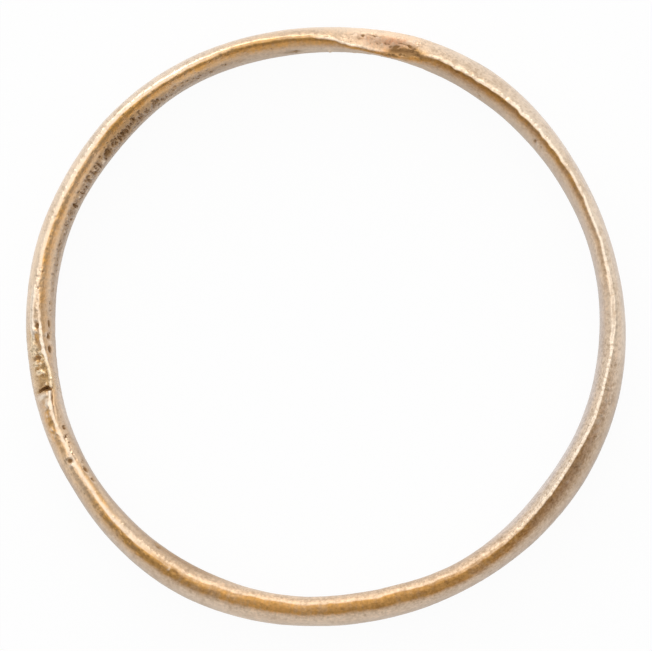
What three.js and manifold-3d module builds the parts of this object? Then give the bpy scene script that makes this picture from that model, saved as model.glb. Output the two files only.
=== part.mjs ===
// A plain finger ring: a hoop of yellow metal with a lens-shaped section, thin at both edges.
// It was opened once and mended: a long strip and a short let-in strip make the hoop,
// and each of the two joints between them is a V that is filled with solder.
// Millimetres, +Z up. The ring lies flat on its far edge, and a finger goes through along Z.
// Azimuths are in degrees, counter-clockwise from +X, seen from the near edge, the upper one.
import * as THREE from 'three';
import { mergeVertices } from 'three/addons/utils/BufferGeometryUtils.js';
import Module from 'manifold-3d';

const wasm = await Module();
wasm.setup();

// The hoop
const outerDiameter = 20.0;
const wall = 0.91;
const bandWidth = 2.4;
const edgeLand = 0.08;
const tipRadius = 0.16;

// The joints
const seamClearance = 0.02;
const saddleRadius = 6.5;
const saddleDepth = 0.52;
const crackWidth = 0.13;
const crackDepth = 0.55;

// Small lengths for the work itself
const overrun = 1.0;
const mergeTolerance = 0.001;

// How the hammered hoop wanders: mean radius and wall by azimuth, every 20 degrees from +X,
// as shares of the mean ones
const courseShares = [
  1.002, 0.994, 0.995, 1.004, 1.002, 0.997, 1.007, 1.001, 1.0,
  0.993, 0.996, 1.002, 1.007, 1.002, 0.994, 0.999, 1.0, 1.006,
];
const wallShares = [
  0.92, 0.82, 0.99, 1.11, 0.9, 0.87, 0.88, 1.0, 0.93,
  1.05, 0.93, 0.99, 1.2, 1.07, 1.07, 1.0, 1.15, 1.08,
];

// Each joint is a V, open to the outer skin. A side of it runs from one azimuth at the outer
// corner to another at the bore corner, and the corners lie this share of the wall off mid-wall.
const cornerShare = 0.64;
const upperJoint = {
  start: { outer: 66.5, bore: 77.5 },
  end: { outer: 85.5, bore: 79.0 },
};
const leftJoint = {
  start: { outer: 178.5, bore: 192.6 },
  end: { outer: 193.6, bore: 193.8 },
};

// The worn saddle on the near edge of the upper joint leans outwards
const saddleAzimuthDegrees = 81.0;
const saddleLeanDegrees = 27;

// The open crack runs from the outer skin past mid-wall, as a share of the wall
const crackReachShare = 0.3;

// Facets: steps round the hoop, up each skin, round each tip and round the saddle's cylinder, and
// the angles in degrees that keep the hoop's facets off the joints' sides and a stretch's rim clear
const stepsAround = 144;
const stepsAcross = 10;
const tipSteps = 4;
const saddleSteps = 96;
const facetTurnDegrees = 1.1;
const rimTurnDegrees = 30;

const meanCourse = (outerDiameter - wall) / 2;
const midHeight = bandWidth / 2;
const radians = THREE.MathUtils.degToRad;

// A periodic Catmull-Rom curve through a table of shares
function shareAt(shares, azimuth) {
  const count = shares.length;
  const place = THREE.MathUtils.euclideanModulo(azimuth / 360, 1) * count;
  const first = Math.floor(place);
  const t = place - first;
  const share = (step) => shares[(first + step + count) % count];
  const [a, b, c, d] = [share(-1), share(0), share(1), share(2)];
  const slope = c - a;
  const bend = 2 * a - 5 * b + 4 * c - d;
  const twist = 3 * (b - c) + d - a;
  return b + (slope * t + bend * t ** 2 + twist * t ** 3) / 2;
}

// Half of the lens, from the land on one edge to the land on the other: a shallow arc, bulging
// to half the wall, that runs into a rounded tip at each edge
function crownArc() {
  const bulge = (wall - edgeLand) / 2;
  const tipHeight = midHeight - tipRadius;
  const radius = (bulge ** 2 + midHeight ** 2 - 2 * midHeight * tipRadius) / (2 * (bulge - tipRadius));
  const halfAngle = Math.atan2(tipHeight, radius - bulge);
  const arc = [];
  for (let step = -tipSteps; step <= stepsAcross + tipSteps; step++) {
    const onArc = THREE.MathUtils.clamp(step, 0, stepsAcross);
    const onTip = (step - onArc) / tipSteps;
    const angle = halfAngle * (2 * onArc / stepsAcross - 1) + (Math.PI / 2 - halfAngle) * onTip;
    const turned = new THREE.Vector2(Math.cos(angle), Math.sin(angle));
    if (onTip === 0) {
      arc.push(turned.multiplyScalar(radius).add(new THREE.Vector2(wall / 2 - radius, 0)));
    } else {
      const centre = new THREE.Vector2(edgeLand / 2, tipHeight * Math.sign(onTip));
      arc.push(turned.multiplyScalar(tipRadius).add(centre));
    }
  }
  return arc;
}

// The whole section, closed on itself, turned about the finger's axis and then worked
// to the hoop's real course and wall
function hoopGeometry() {
  const arc = crownArc();
  const outerSkin = arc.map((p) => new THREE.Vector2(meanCourse + p.x, p.y));
  const boreSkin = arc.map((p) => new THREE.Vector2(meanCourse - p.x, -p.y));
  const section = [...outerSkin, ...boreSkin, outerSkin[0].clone()];
  const geometry = new THREE.LatheGeometry(section, stepsAround);
  geometry.rotateX(Math.PI / 2);
  geometry.rotateZ(radians(facetTurnDegrees));
  geometry.translate(0, 0, midHeight);
  const points = geometry.attributes.position;
  const point = new THREE.Vector3();
  for (let i = 0; i < points.count; i++) {
    point.fromBufferAttribute(points, i);
    const radius = Math.hypot(point.x, point.y);
    const azimuth = THREE.MathUtils.radToDeg(Math.atan2(point.y, point.x));
    const fromMidWall = (radius - meanCourse) * shareAt(wallShares, azimuth);
    const worked = meanCourse * shareAt(courseShares, azimuth) + fromMidWall;
    points.setXY(i, point.x * worked / radius, point.y * worked / radius);
  }
  return geometry;
}

function toSolid(geometry) {
  const bare = geometry.clone();
  bare.deleteAttribute('normal');
  bare.deleteAttribute('uv');
  const merged = mergeVertices(bare, mergeTolerance);
  const mesh = new wasm.Mesh({
    numProp: 3,
    vertProperties: Float32Array.from(merged.attributes.position.array),
    triVerts: Uint32Array.from(merged.index.array),
  });
  return new wasm.Manifold(mesh);
}

function toGeometry(solid) {
  const mesh = solid.getMesh();
  const geometry = new THREE.BufferGeometry();
  geometry.setAttribute('position', new THREE.BufferAttribute(mesh.vertProperties, 3));
  geometry.setIndex(new THREE.BufferAttribute(mesh.triVerts, 1));
  geometry.computeVertexNormals();
  return geometry;
}

function polar(radius, azimuth) {
  return new THREE.Vector2(
    radius * Math.cos(radians(azimuth)),
    radius * Math.sin(radians(azimuth)),
  );
}

// One side of a joint as two corners, bore first, moved by a shift towards larger azimuths
function jointSide(side, shift) {
  const corner = wall * cornerShare;
  const bore = polar(meanCourse * shareAt(courseShares, side.bore) - corner, side.bore);
  const outer = polar(meanCourse * shareAt(courseShares, side.outer) + corner, side.outer);
  const along = outer.clone().sub(bore).normalize();
  const across = new THREE.Vector2(-along.y, along.x).multiplyScalar(shift);
  return [bore.add(across), outer.add(across)];
}

// A prism over a plan outline, taller than the hoop at both edges
function prism(outline) {
  const height = bandWidth + 2 * overrun;
  const shape = new THREE.Shape(outline);
  const geometry = new THREE.ExtrudeGeometry(shape, { depth: height, bevelEnabled: false });
  geometry.translate(0, 0, -overrun);
  return toSolid(geometry);
}

// The stretch of the hoop from one joint side to another, counter-clockwise
function stretch(from, fromShift, to, toShift) {
  const [fromBore, fromOuter] = jointSide(from, fromShift);
  const [toBore, toOuter] = jointSide(to, toShift);
  const clearOfHoop = outerDiameter + overrun;
  const turn = THREE.MathUtils.euclideanModulo(to.outer - from.outer, 360);
  const sides = Math.ceil(turn / rimTurnDegrees);
  const rim = [];
  for (let side = 0; side <= sides; side++) {
    rim.push(polar(clearOfHoop, from.outer + turn * side / sides));
  }
  return prism([new THREE.Vector2(), fromBore, fromOuter, ...rim, toOuter, toBore]);
}

// The fill of a joint: what lies between its two sides
function fillPrism(joint) {
  const [startBore, startOuter] = jointSide(joint.start, 0);
  const [endBore, endOuter] = jointSide(joint.end, 0);
  return prism([startBore, startOuter, endOuter, endBore]);
}

// A cylinder laid across the near edge wears the saddle: it lies along the radius, leans
// outwards and dips into the edge by the saddle's depth at mid-wall
function saddleCutter() {
  const length = wall + 2 * saddleRadius;
  const geometry = new THREE.CylinderGeometry(saddleRadius, saddleRadius, length, saddleSteps);
  geometry.rotateZ(Math.PI / 2);
  geometry.translate(0, 0, saddleRadius);
  geometry.rotateY(radians(saddleLeanDegrees));
  const course = meanCourse * shareAt(courseShares, saddleAzimuthDegrees);
  geometry.translate(course, 0, bandWidth - saddleDepth);
  geometry.rotateZ(radians(saddleAzimuthDegrees));
  return toSolid(geometry);
}

// The crack beside the long strip's end, open at the near edge and at the outer skin
function crackCutter() {
  const reach = wall * (cornerShare + crackReachShare);
  const height = crackDepth + overrun;
  const geometry = new THREE.BoxGeometry(reach, crackWidth, height);
  const course = meanCourse * shareAt(courseShares, leftJoint.end.outer);
  const radius = course + wall * cornerShare - reach / 2;
  geometry.translate(radius, -crackWidth / 2, bandWidth - crackDepth + height / 2);
  geometry.rotateZ(radians(leftJoint.end.outer));
  return toSolid(geometry);
}

const hoop = toSolid(hoopGeometry()).subtract(saddleCutter());

const longStretch = stretch(leftJoint.end, seamClearance, upperJoint.start, -seamClearance);
const shortStretch = stretch(upperJoint.end, seamClearance, leftJoint.start, -seamClearance);

const solids = {
  hoop_long_strip: hoop.intersect(longStretch),
  hoop_short_strip: hoop.intersect(shortStretch),
  upper_joint_solder: hoop.intersect(fillPrism(upperJoint)),
  left_joint_solder: hoop.intersect(fillPrism(leftJoint)).subtract(crackCutter()),
};

const finishes = {
  hoop_long_strip: { color: 0xc8a57c, roughness: 0.42, metalness: 1 },
  hoop_short_strip: { color: 0xcba26c, roughness: 0.38, metalness: 1 },
  upper_joint_solder: { color: 0xc79a76, roughness: 0.6, metalness: 1 },
  left_joint_solder: { color: 0xcfae76, roughness: 0.5, metalness: 1 },
};

// The ring stands centred over the origin
const ring = new THREE.Group();
for (const [name, solid] of Object.entries(solids)) {
  const mesh = new THREE.Mesh(toGeometry(solid), new THREE.MeshStandardMaterial(finishes[name]));
  mesh.name = name;
  ring.add(mesh);
}
const middle = new THREE.Box3().setFromObject(ring, true).getCenter(new THREE.Vector3());
ring.position.set(-middle.x, -middle.y, 0);

export default ring;
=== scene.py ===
"""A worn finger ring of yellow metal, mended with two soldered joints.

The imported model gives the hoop's real course, wall and width. Each strip and each solder fill is
modelled again at a fine scale, with its hammering, wear, pits and hollows as real surface, and
dressed in its own metal. The bench works in millimetres, and a finished piece is in metres.
"""

import logging
import math
from collections.abc import Iterable
from dataclasses import dataclass, field
from enum import Enum
from functools import cached_property

import bpy
import numpy as np
from mathutils import Matrix, Vector, noise


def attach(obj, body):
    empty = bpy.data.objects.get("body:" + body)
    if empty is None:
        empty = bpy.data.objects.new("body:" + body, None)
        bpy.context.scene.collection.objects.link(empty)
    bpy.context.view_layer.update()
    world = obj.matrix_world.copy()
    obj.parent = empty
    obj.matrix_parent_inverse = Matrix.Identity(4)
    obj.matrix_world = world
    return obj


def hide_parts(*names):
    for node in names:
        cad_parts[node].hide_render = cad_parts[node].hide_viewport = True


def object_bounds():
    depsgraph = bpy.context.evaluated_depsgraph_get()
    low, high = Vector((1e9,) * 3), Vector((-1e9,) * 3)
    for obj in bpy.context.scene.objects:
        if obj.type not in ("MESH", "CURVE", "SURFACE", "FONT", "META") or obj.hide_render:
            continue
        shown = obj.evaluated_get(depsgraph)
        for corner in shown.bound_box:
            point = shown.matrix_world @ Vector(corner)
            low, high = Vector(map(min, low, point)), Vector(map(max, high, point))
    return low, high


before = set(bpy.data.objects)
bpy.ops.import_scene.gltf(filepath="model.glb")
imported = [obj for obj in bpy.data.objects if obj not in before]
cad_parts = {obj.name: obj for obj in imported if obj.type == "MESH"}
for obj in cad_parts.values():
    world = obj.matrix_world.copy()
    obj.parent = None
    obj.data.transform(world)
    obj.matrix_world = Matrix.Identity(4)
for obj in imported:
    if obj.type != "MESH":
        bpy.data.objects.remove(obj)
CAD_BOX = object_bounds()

LOG = logging.getLogger("finger_ring")
MM = 0.001
FULL_TURN = 360.0

Array = np.ndarray

# A value at a few azimuths in degrees
Table = dict[float, float]


class Strip(Enum):
    """The pieces of the hoop, by their names in the frame."""

    LONG = "hoop_long_strip"
    SHORT = "hoop_short_strip"
    UPPER_FILL = "upper_joint_solder"
    LEFT_FILL = "left_joint_solder"


def smooth(low: float, high: float, value: Array) -> Array:
    """Rises from 0 at low to 1 at high, level at both ends."""
    t = np.clip((value - low) / (high - low), 0.0, 1.0)
    return t * t * (3.0 - 2.0 * t)


def by_azimuth(stations: Table, azimuth: Array) -> Array:
    """Reads a value that is set at a few azimuths, eased between them all round the hoop.

    Args:
        stations: the value at each azimuth in degrees, from 0 to 360.
        azimuth: where to read it, in degrees, any turn.

    Returns:
        The value at each azimuth.
    """
    places = np.array(sorted(stations))
    values = np.array([stations[place] for place in places])
    places = np.concatenate([places, [places[0] + FULL_TURN]])
    values = np.concatenate([values, values[:1]])
    turned = (np.asarray(azimuth) - places[0]) % FULL_TURN + places[0]
    after = np.clip(np.searchsorted(places, turned, side="right"), 1, len(places) - 1)
    eased = smooth(places[after - 1], places[after], turned)
    return values[after - 1] + (values[after] - values[after - 1]) * eased


def points_of(mesh: bpy.types.Mesh) -> Array:
    """The places of a mesh's vertices."""
    points = np.empty(len(mesh.vertices) * 3, np.float32)
    mesh.vertices.foreach_get("co", points)
    return points.reshape(-1, 3).astype(float)


def direction(azimuth: float, elevation: float) -> Vector:
    """The way from the ring to an azimuth and an elevation in degrees."""
    turn = math.radians(azimuth)
    rise = math.radians(elevation)
    level = math.cos(rise)
    return Vector((math.cos(turn) * level, math.sin(turn) * level, math.sin(rise)))


# The measured hoop


@dataclass
class HoopCourse:
    """Where the hoop's two skins and two edges run, measured on the frame's nodes.

    Args:
        harmonics: how many waves round the hoop describe a skin.
        middle_share: how near to mid-height a vertex tells of the wall, as a share of its half width.
    """

    harmonics: int = 10
    middle_share: float = 0.02
    half_width: float = field(init=False)
    mid_height: float = field(init=False)
    outer_waves: Array = field(init=False)
    bore_waves: Array = field(init=False)

    def __post_init__(self) -> None:
        """Measures the nodes, in millimetres."""
        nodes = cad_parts
        points = np.concatenate([points_of(nodes[strip.value].data) / MM for strip in Strip])
        low = points[:, 2].min()
        high = points[:, 2].max()
        self.half_width = (high - low) / 2.0
        self.mid_height = (high + low) / 2.0
        reach = self.half_width * self.middle_share
        at_middle = points[np.abs(points[:, 2] - self.mid_height) < reach]
        radius = np.hypot(at_middle[:, 0], at_middle[:, 1])
        azimuth = np.degrees(np.arctan2(at_middle[:, 1], at_middle[:, 0]))
        middle = (radius.min() + radius.max()) / 2.0
        outside = radius > middle
        self.outer_waves = self.fit(azimuth[outside], radius[outside])
        self.bore_waves = self.fit(azimuth[~outside], radius[~outside])

    def waves(self, azimuth: Array) -> Array:
        """The waves round the hoop at some azimuths, one column each."""
        turn = np.radians(np.asarray(azimuth, float))
        columns = [np.ones_like(turn)]
        for order in range(1, self.harmonics + 1):
            columns += [np.cos(order * turn), np.sin(order * turn)]
        return np.stack(columns, axis=-1)

    def fit(self, azimuth: Array, radius: Array) -> Array:
        """The height of each wave in a skin's radius."""
        return np.linalg.lstsq(self.waves(azimuth), radius, rcond=None)[0]

    def mid_wall(self, azimuth: Array) -> Array:
        """The radius of the wall's middle."""
        return self.waves(azimuth) @ ((self.outer_waves + self.bore_waves) / 2.0)

    def half_wall(self, azimuth: Array) -> Array:
        """Half of the wall's thickness at mid-height."""
        return self.waves(azimuth) @ ((self.outer_waves - self.bore_waves) / 2.0)


@dataclass(frozen=True)
class SeamPlane:
    """The plane of a strip's end, measured on its node: a point and the normal off the strip."""

    point: Vector
    normal: Vector

    @property
    def azimuth(self) -> float:
        """Where the end's middle lies, in degrees from 0 to 360."""
        return math.degrees(math.atan2(self.point.y, self.point.x)) % FULL_TURN

    def turned(self) -> "SeamPlane":
        """The same plane for the piece on its other side."""
        return SeamPlane(self.point, -self.normal)

    @classmethod
    def ends_of(
        cls, strip: Strip, least_turn: float = 0.2, most_rise: float = 0.01
    ) -> list["SeamPlane"]:
        """Finds the two cut ends of a strip.

        Args:
            strip: the strip to measure.
            least_turn: how far an end face looks along the hoop; its skins hardly do.
            most_rise: how far it may look up or down.

        Returns:
            Its two end planes, by azimuth.
        """
        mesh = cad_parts[strip.value].data
        groups: dict[int, list[tuple[Vector, Vector, float]]] = {}
        for face in mesh.polygons:
            centre = face.center / MM
            along = Vector((-centre.y, centre.x, 0.0)).normalized()
            if abs(face.normal.z) > most_rise or abs(face.normal.dot(along)) < least_turn:
                continue
            side = 1 if face.normal.dot(along) > 0.0 else -1
            groups.setdefault(side, []).append((centre, face.normal.copy(), face.area))
        ends = []
        for faces in groups.values():
            area = sum(item[2] for item in faces)
            point = sum((item[0] * item[2] for item in faces), Vector()) / area
            normal = sum((item[1] * item[2] for item in faces), Vector()).normalized()
            ends.append(cls(point, normal))
        return sorted(ends, key=lambda end: end.azimuth)


# The section


@dataclass(frozen=True)
class LensSection:
    """The hoop's section: a lens whose two skins run into a rounded crest at each edge.

    Args:
        far_steps: facets from mid-height to the far crest on each skin.
        near_steps: facets from mid-height to the near crest, where the marks are.
    """

    far_steps: int = 12
    near_steps: int = 50

    def stations(self) -> tuple[Array, Array]:
        """Lists the section's points once round, from the far crest.

        Returns:
            For each point the side, 1 outside and -1 in the bore, and the angle up the skin from
            mid-height, in radians.
        """
        quarter = np.pi / 2.0
        far = np.linspace(-quarter, 0.0, self.far_steps, endpoint=False)
        up = np.concatenate([far, np.linspace(0.0, quarter, self.near_steps + 1)])
        side = np.concatenate([np.ones(len(up)), -np.ones(len(up) - 2)])
        return side, np.concatenate([up, up[-2:0:-1]])

    def points(
        self, half_wall: Array, half_width: float, crest_radius: Array, place: tuple[Array, Array]
    ) -> tuple[Array, ...]:
        """Works out section points for any wall and crest.

        An ellipse has a crest of its own radius. A factor that lessens the wall towards the
        crest makes it sharper, or blunter where it is negative.

        Args:
            half_wall: half of the thickness at mid-height.
            half_width: half of the band's width.
            crest_radius: the radius of the crest.
            place: the side and the angle up the skin, as stations gives them.

        Returns:
            Offset from mid-wall, height from mid-height, the skin's angle above the radius,
            and the way over the skin from the near crest, which is negative in the bore.
        """
        side, up = place
        lessening = 1.0 - crest_radius * half_width / half_wall**2
        rise = np.sin(up)
        level = np.abs(np.cos(up))
        thinning = np.sqrt(1.0 - lessening * rise**2)
        offset = half_wall * level * thinning
        height = half_width * rise
        narrowing = half_wall * rise * (thinning**2 + lessening * level**2) / thinning
        angle = np.arctan2(narrowing, half_width * level)
        way = np.hypot(offset, half_width - height)
        return side * offset, height, angle, side * way


# Marks in the surface


@dataclass(frozen=True)
class Mark:
    """One pit, hollow, nick, lump or burr on the near side of the hoop.

    Args:
        azimuth: its middle, in degrees.
        share: its middle across the visible wall, from -1 at the bore to 1 at the outer skin.
        along: its half length round the hoop, in millimetres.
        across: its half width as seen from above, in millimetres.
        depth: how deep it goes, in millimetres, or negative where it stands out.
        turn: its turn on the surface, in degrees, anticlockwise as seen from outside.
        flat: 1 for a bell shape, more for a flat floor with steeper sides.
    """

    azimuth: float
    share: float
    along: float
    across: float
    depth: float
    turn: float = 0.0
    flat: float = 1.0


Marks = tuple[Mark, ...]


@dataclass(frozen=True)
class PitField:
    """A stretch of corroded or pimpled surface, with scattered pits or lumps.

    Args:
        azimuths: where the stretch begins and ends, in degrees.
        shares: its two sides across the visible wall.
        count: how many pits it has.
        size: the least and the most half length of a pit, in millimetres.
        depth: the most that a pit goes in, in millimetres, or negative for lumps.
        seed: the start of the scatter.
        turn: the mean turn of the pits, in degrees, 90 for across the band.
        slimness: the least and the most width of a pit, as shares of its length.
        shallowness: the least and the most depth of a pit, as shares of depth.
        scatter: how far a pit may turn off the mean, in degrees.
        flat: the pits' flatness, as a mark has it.
    """

    azimuths: tuple[float, float]
    shares: tuple[float, float]
    count: int
    size: tuple[float, float]
    depth: float
    seed: int
    turn: float = 0.0
    slimness: tuple[float, float] = (0.4, 0.9)
    shallowness: tuple[float, float] = (0.35, 1.0)
    scatter: float = 30.0
    flat: float = 1.4

    def marks(self) -> list[Mark]:
        """Scatters the pits, thickest at the middle of the stretch."""
        draw = np.random.default_rng(self.seed)
        found = []
        for _ in range(self.count):
            middle = (self.azimuths[0] + self.azimuths[1]) / 2.0
            spread = (self.azimuths[1] - self.azimuths[0]) / 2.0
            azimuth = middle + spread * draw.triangular(-1.0, 0.0, 1.0)
            share = draw.uniform(*self.shares)
            along = draw.uniform(*self.size)
            across = along * draw.uniform(*self.slimness)
            depth = self.depth * draw.uniform(*self.shallowness)
            turn = self.turn + draw.uniform(-self.scatter, self.scatter)
            found.append(Mark(azimuth, share, along, across, depth, turn, self.flat))
        return found


@dataclass(frozen=True)
class Ridge:
    """A fine ridge that runs along the near side of the hoop.

    Args:
        shares: its place across the visible wall by azimuth, from -1 at the bore to 1 outside,
            or nothing where it runs along the crest itself.
        heights: how far it stands out by azimuth, in millimetres.
        half_width: its half width over the skin, in millimetres.
    """

    shares: Table
    heights: Table
    half_width: float


@dataclass
class SkinPoints:
    """The skin of one piece as arrays, one entry for each vertex.

    Args:
        azimuth: degrees, rising along the piece.
        way: millimetres over the skin from the near edge, negative in the bore.
        place: the piece's points in millimetres.
        outward: the skin's normal.
    """

    azimuth: Array
    way: Array
    place: Array
    outward: Array

    def read(self, table: Table) -> Array:
        """A table's value at each vertex."""
        return by_azimuth(table, self.azimuth)

    def by_side(self, outside: Array, inside: Array) -> Array:
        """One value for the outer skin and another for the bore."""
        return np.where(self.way > 0.0, outside, inside)


@dataclass(frozen=True)
class Coat:
    """How strong something is on the outer skin, on the crest and in the bore.

    Args:
        outside: its strength on the outer skin, 0 for none.
        crest: the same on the near crest.
        inside: the same in the bore.
        margin: between which distances from the crest a side takes over, in millimetres.
    """

    outside: Table
    crest: Table
    inside: Table
    margin: tuple[float, float]

    def on(self, skin: SkinPoints) -> Array:
        """Its strength at each point of a skin."""
        crest = skin.read(self.crest)
        side = skin.by_side(skin.read(self.outside), skin.read(self.inside))
        return crest + (side - crest) * smooth(*self.margin, np.abs(skin.way))


@dataclass(frozen=True)
class Wear:
    """What the years did to the hoop, and the light and shade painted onto its colour.

    Each table goes by azimuth, and is in millimetres where nothing else is said.

    Args:
        crest_share: where the near crest is seen across the wall, -1 bore to 1 outside.
        crest_radius: rounding of the near crest.
        crest_drop: how much lower the near crest is.
        raggedness: how far the near crest wanders from facet to facet.
        roughness: height of the fine unevenness.
        grain: strength of the finest grain, 0 for none.
        dullness: how much rougher than polished the metal shines, in Blender's roughness.
        film: how thick the pale film is, 1 for opaque.
        gold_and_painted_shade: how golden brown the metal is beside the crest, from 1 on fully. The band
            lies on the crest's side away from the light, partly the metal's colour and partly painted
            shade.
        gold_and_shade_reach: how far that golden brown and painted shade goes over the skin.
        painted_shading: painted shade on that band, 1 for a quarter darker, and painted light where it is
            negative.
        outer_painted_shading: the same painted shade and light for the outer face, away from the crest,
            lighter on the window's side.
        bore_painted_shading: the same painted shade for the bore, where it shows as brown more than as
            dark.
        bore_ash: how grey the film in the bore is, from 0 to 1, and half as grey outside.
        marks: the single marks.
        ridges: the long ridges.
        fields: the corroded stretches.
        stains: brown deposits, as marks whose depth is their strength.
        blushes: coppery places, as marks whose depth is their strength.
        gilts: golden places off the golden-brown band, as marks whose depth is their strength.
    """

    crest_share: Table
    crest_radius: Table
    crest_drop: Table
    raggedness: Table
    roughness: Table
    grain: Table
    dullness: Table
    film: Coat
    gold_and_painted_shade: Coat
    gold_and_shade_reach: Table
    painted_shading: Table
    outer_painted_shading: Table
    bore_painted_shading: Table
    bore_ash: Table
    marks: Marks
    ridges: tuple[Ridge, ...]
    fields: tuple[PitField, ...]
    stains: Marks
    blushes: Marks
    gilts: Marks

    def all_marks(self) -> list[Mark]:
        """The single marks and the pits of the corroded stretches."""
        return list(self.marks) + [mark for pits in self.fields for mark in pits.marks()]


@dataclass
class RingSmith:
    """Works the surface of every piece on one hoop, so that they meet at their seams.

    Args:
        course: the measured hoop.
        wear: the wear of the whole hoop, with the light and shade painted onto its colour.
        section: the section's facets.
        far_crest_radius: rounding of the far crest, in millimetres.
        lean_azimuth: where the near crest seems displaced to, in degrees.
        lean: how far it seems displaced there, in millimetres.
        hammering: height of the hammered unevenness, in millimetres.
        hammer_scale: how many hammered waves fill a millimetre.
        grain_scale: the same for the fine unevenness.
        face_margin: between which distances from the crest a face begins, in millimetres.
        plain_margin: between which the grain dies away, in millimetres.
        plain_share: the share of the grain that dies away.
        drop_power: how steeply the crest's drop grows towards it.
        mark_reach: how many half lengths away a mark is felt.
        most_slant: how far a mark is drawn out at most where the skin is steep.
        bore_dark_share: the share of the bore's painted shade that darkens it, the rest being painted as
            brown.
        full_rub: how far a lump stands out, in millimetres, where wear has polished it.
    """

    course: HoopCourse
    wear: Wear
    section: LensSection = LensSection()
    far_crest_radius: float = 0.16
    lean_azimuth: float = 135.0
    lean: float = 0.16
    hammering: float = 0.012
    hammer_scale: float = 0.55
    grain_scale: float = 5.5
    face_margin: tuple[float, float] = (0.15, 0.65)
    plain_margin: tuple[float, float] = (0.3, 0.9)
    plain_share: float = 0.85
    drop_power: float = 2.2
    mark_reach: float = 3.0
    most_slant: float = 4.0
    bore_dark_share: float = 0.4
    full_rub: float = 0.035

    @cached_property
    def ripples(self) -> list[Table]:
        """Random courses of the worn crest, from long waves to short ones."""
        draw = np.random.default_rng(11)
        return [
            {FULL_TURN * place / count: float(draw.uniform(-1.0, 1.0)) for place in range(count)}
            for count in (110, 290)
        ]

    def master_loop(self, azimuth: float) -> tuple[Array, Array]:
        """The section as it is spun, before any wear.

        Args:
            azimuth: where the section stands, in degrees.

        Returns:
            The section's points in millimetres, and the same as offset and height.
        """
        wall = np.mean(self.course.half_wall(self.all_round))
        crest = np.float64(self.far_crest_radius)
        place = self.section.stations()
        offset, height, _, _ = self.section.points(wall, self.course.half_width, crest, place)
        radius = self.mean_radius + offset
        turn = math.radians(azimuth)
        rise = height + self.course.mid_height
        points = np.stack([radius * math.cos(turn), radius * math.sin(turn), rise], axis=-1)
        return points, np.stack([offset, height], axis=-1)

    @property
    def all_round(self) -> Array:
        """Azimuths all round the hoop."""
        return np.arange(0.0, FULL_TURN, 5.0)

    @cached_property
    def mean_radius(self) -> float:
        """The hoop's mean radius at mid-wall."""
        return float(np.mean(self.course.mid_wall(self.all_round)))

    def seen_lean(self, azimuth: Array) -> Array:
        """How far outwards the near crest seems to lie, as the hoop is seen at a slant."""
        return self.lean * np.cos(np.radians(azimuth - self.lean_azimuth))

    def shape(self, azimuth: Array, place: tuple[Array, Array]) -> SkinPoints:
        """Puts section points on the worn hoop.

        Args:
            azimuth: degrees, one for each point.
            place: the side and the angle up the skin of each point.

        Returns:
            The skin, still without marks.
        """
        wear = self.wear
        crest = by_azimuth(wear.crest_radius, azimuth)
        crest = np.where(place[1] > 0.0, crest, self.far_crest_radius)
        half_wall = self.course.half_wall(azimuth)
        half_width = self.course.half_width
        offset, height, angle, way = self.section.points(half_wall, half_width, crest, place)
        rise = np.clip(height / half_width, 0.0, 1.0)
        wander = sum(by_azimuth(waves, azimuth) for waves in self.ripples)
        wander = wander * by_azimuth(wear.raggedness, azimuth)
        seen = by_azimuth(wear.crest_share, azimuth) * half_wall
        shift = seen - self.seen_lean(azimuth) + wander
        offset = offset + shift * rise**2
        height = height - by_azimuth(wear.crest_drop, azimuth) * rise**self.drop_power
        radius = self.course.mid_wall(azimuth) + offset
        turn = np.radians(azimuth)
        radial = np.stack([np.cos(turn), np.sin(turn), np.zeros_like(turn)], axis=-1)
        placed = radial * radius[:, None]
        placed[:, 2] = height + self.course.mid_height
        outward = radial * (place[0] * np.cos(angle))[:, None]
        outward[:, 2] = np.sin(angle)
        return SkinPoints(azimuth, way, placed, outward)

    def ways_at(self, azimuth: float, *shares: float) -> list[float]:
        """Finds the places over the skin that are seen at some shares of the wall.

        Args:
            azimuth: degrees.
            shares: from -1 at the bore's outline to 1 at the outer outline.

        Returns:
            The way over the skin from the near crest to each of them, in millimetres.
        """
        side, up = self.section.stations()
        upper = up > 0.0
        azimuths = np.full(int(upper.sum()), azimuth, float)
        skin = self.shape(azimuths, (side[upper], up[upper]))
        radius = np.hypot(skin.place[:, 0], skin.place[:, 1])
        rise = (skin.place[:, 2] - self.course.mid_height) / self.course.half_width
        seen = radius + rise * self.seen_lean(azimuths) - self.course.mid_wall(azimuths)
        share_seen = seen / self.course.half_wall(azimuths)
        return [float(skin.way[np.argmin(np.abs(share_seen - share))]) for share in shares]

    def carve(self, skin: SkinPoints, marks: Iterable[Mark]) -> Array:
        """Adds up how deep the marks go.

        Args:
            skin: the piece's skin.
            marks: the marks to carve.

        Returns:
            The depth at each point, in millimetres, negative where a mark stands out.
        """
        depth = np.zeros(len(skin.azimuth))
        per_degree = math.radians(self.mean_radius)
        for mark in marks:
            gone = (skin.azimuth - mark.azimuth + 180.0) % FULL_TURN - 180.0
            reach = self.mark_reach * max(mark.along, mark.across)
            near = np.flatnonzero(np.abs(gone) * per_degree < reach)
            if not len(near):
                continue
            step = mark.across / float(self.course.half_wall(mark.azimuth))
            shares = (mark.share, mark.share - step, mark.share + step)
            middle, lower, upper = self.ways_at(mark.azimuth, *shares)
            slant = max(1.0, (upper - lower) / (2.0 * mark.across))
            along = gone[near] * per_degree
            across = (skin.way[near] - middle) / min(slant, self.most_slant)
            turn = math.radians(mark.turn)
            length = (along * math.cos(turn) + across * math.sin(turn)) / mark.along
            width = (across * math.cos(turn) - along * math.sin(turn)) / mark.across
            depth[near] += mark.depth * np.exp(-((length**2 + width**2) ** mark.flat))
        return depth

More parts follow.
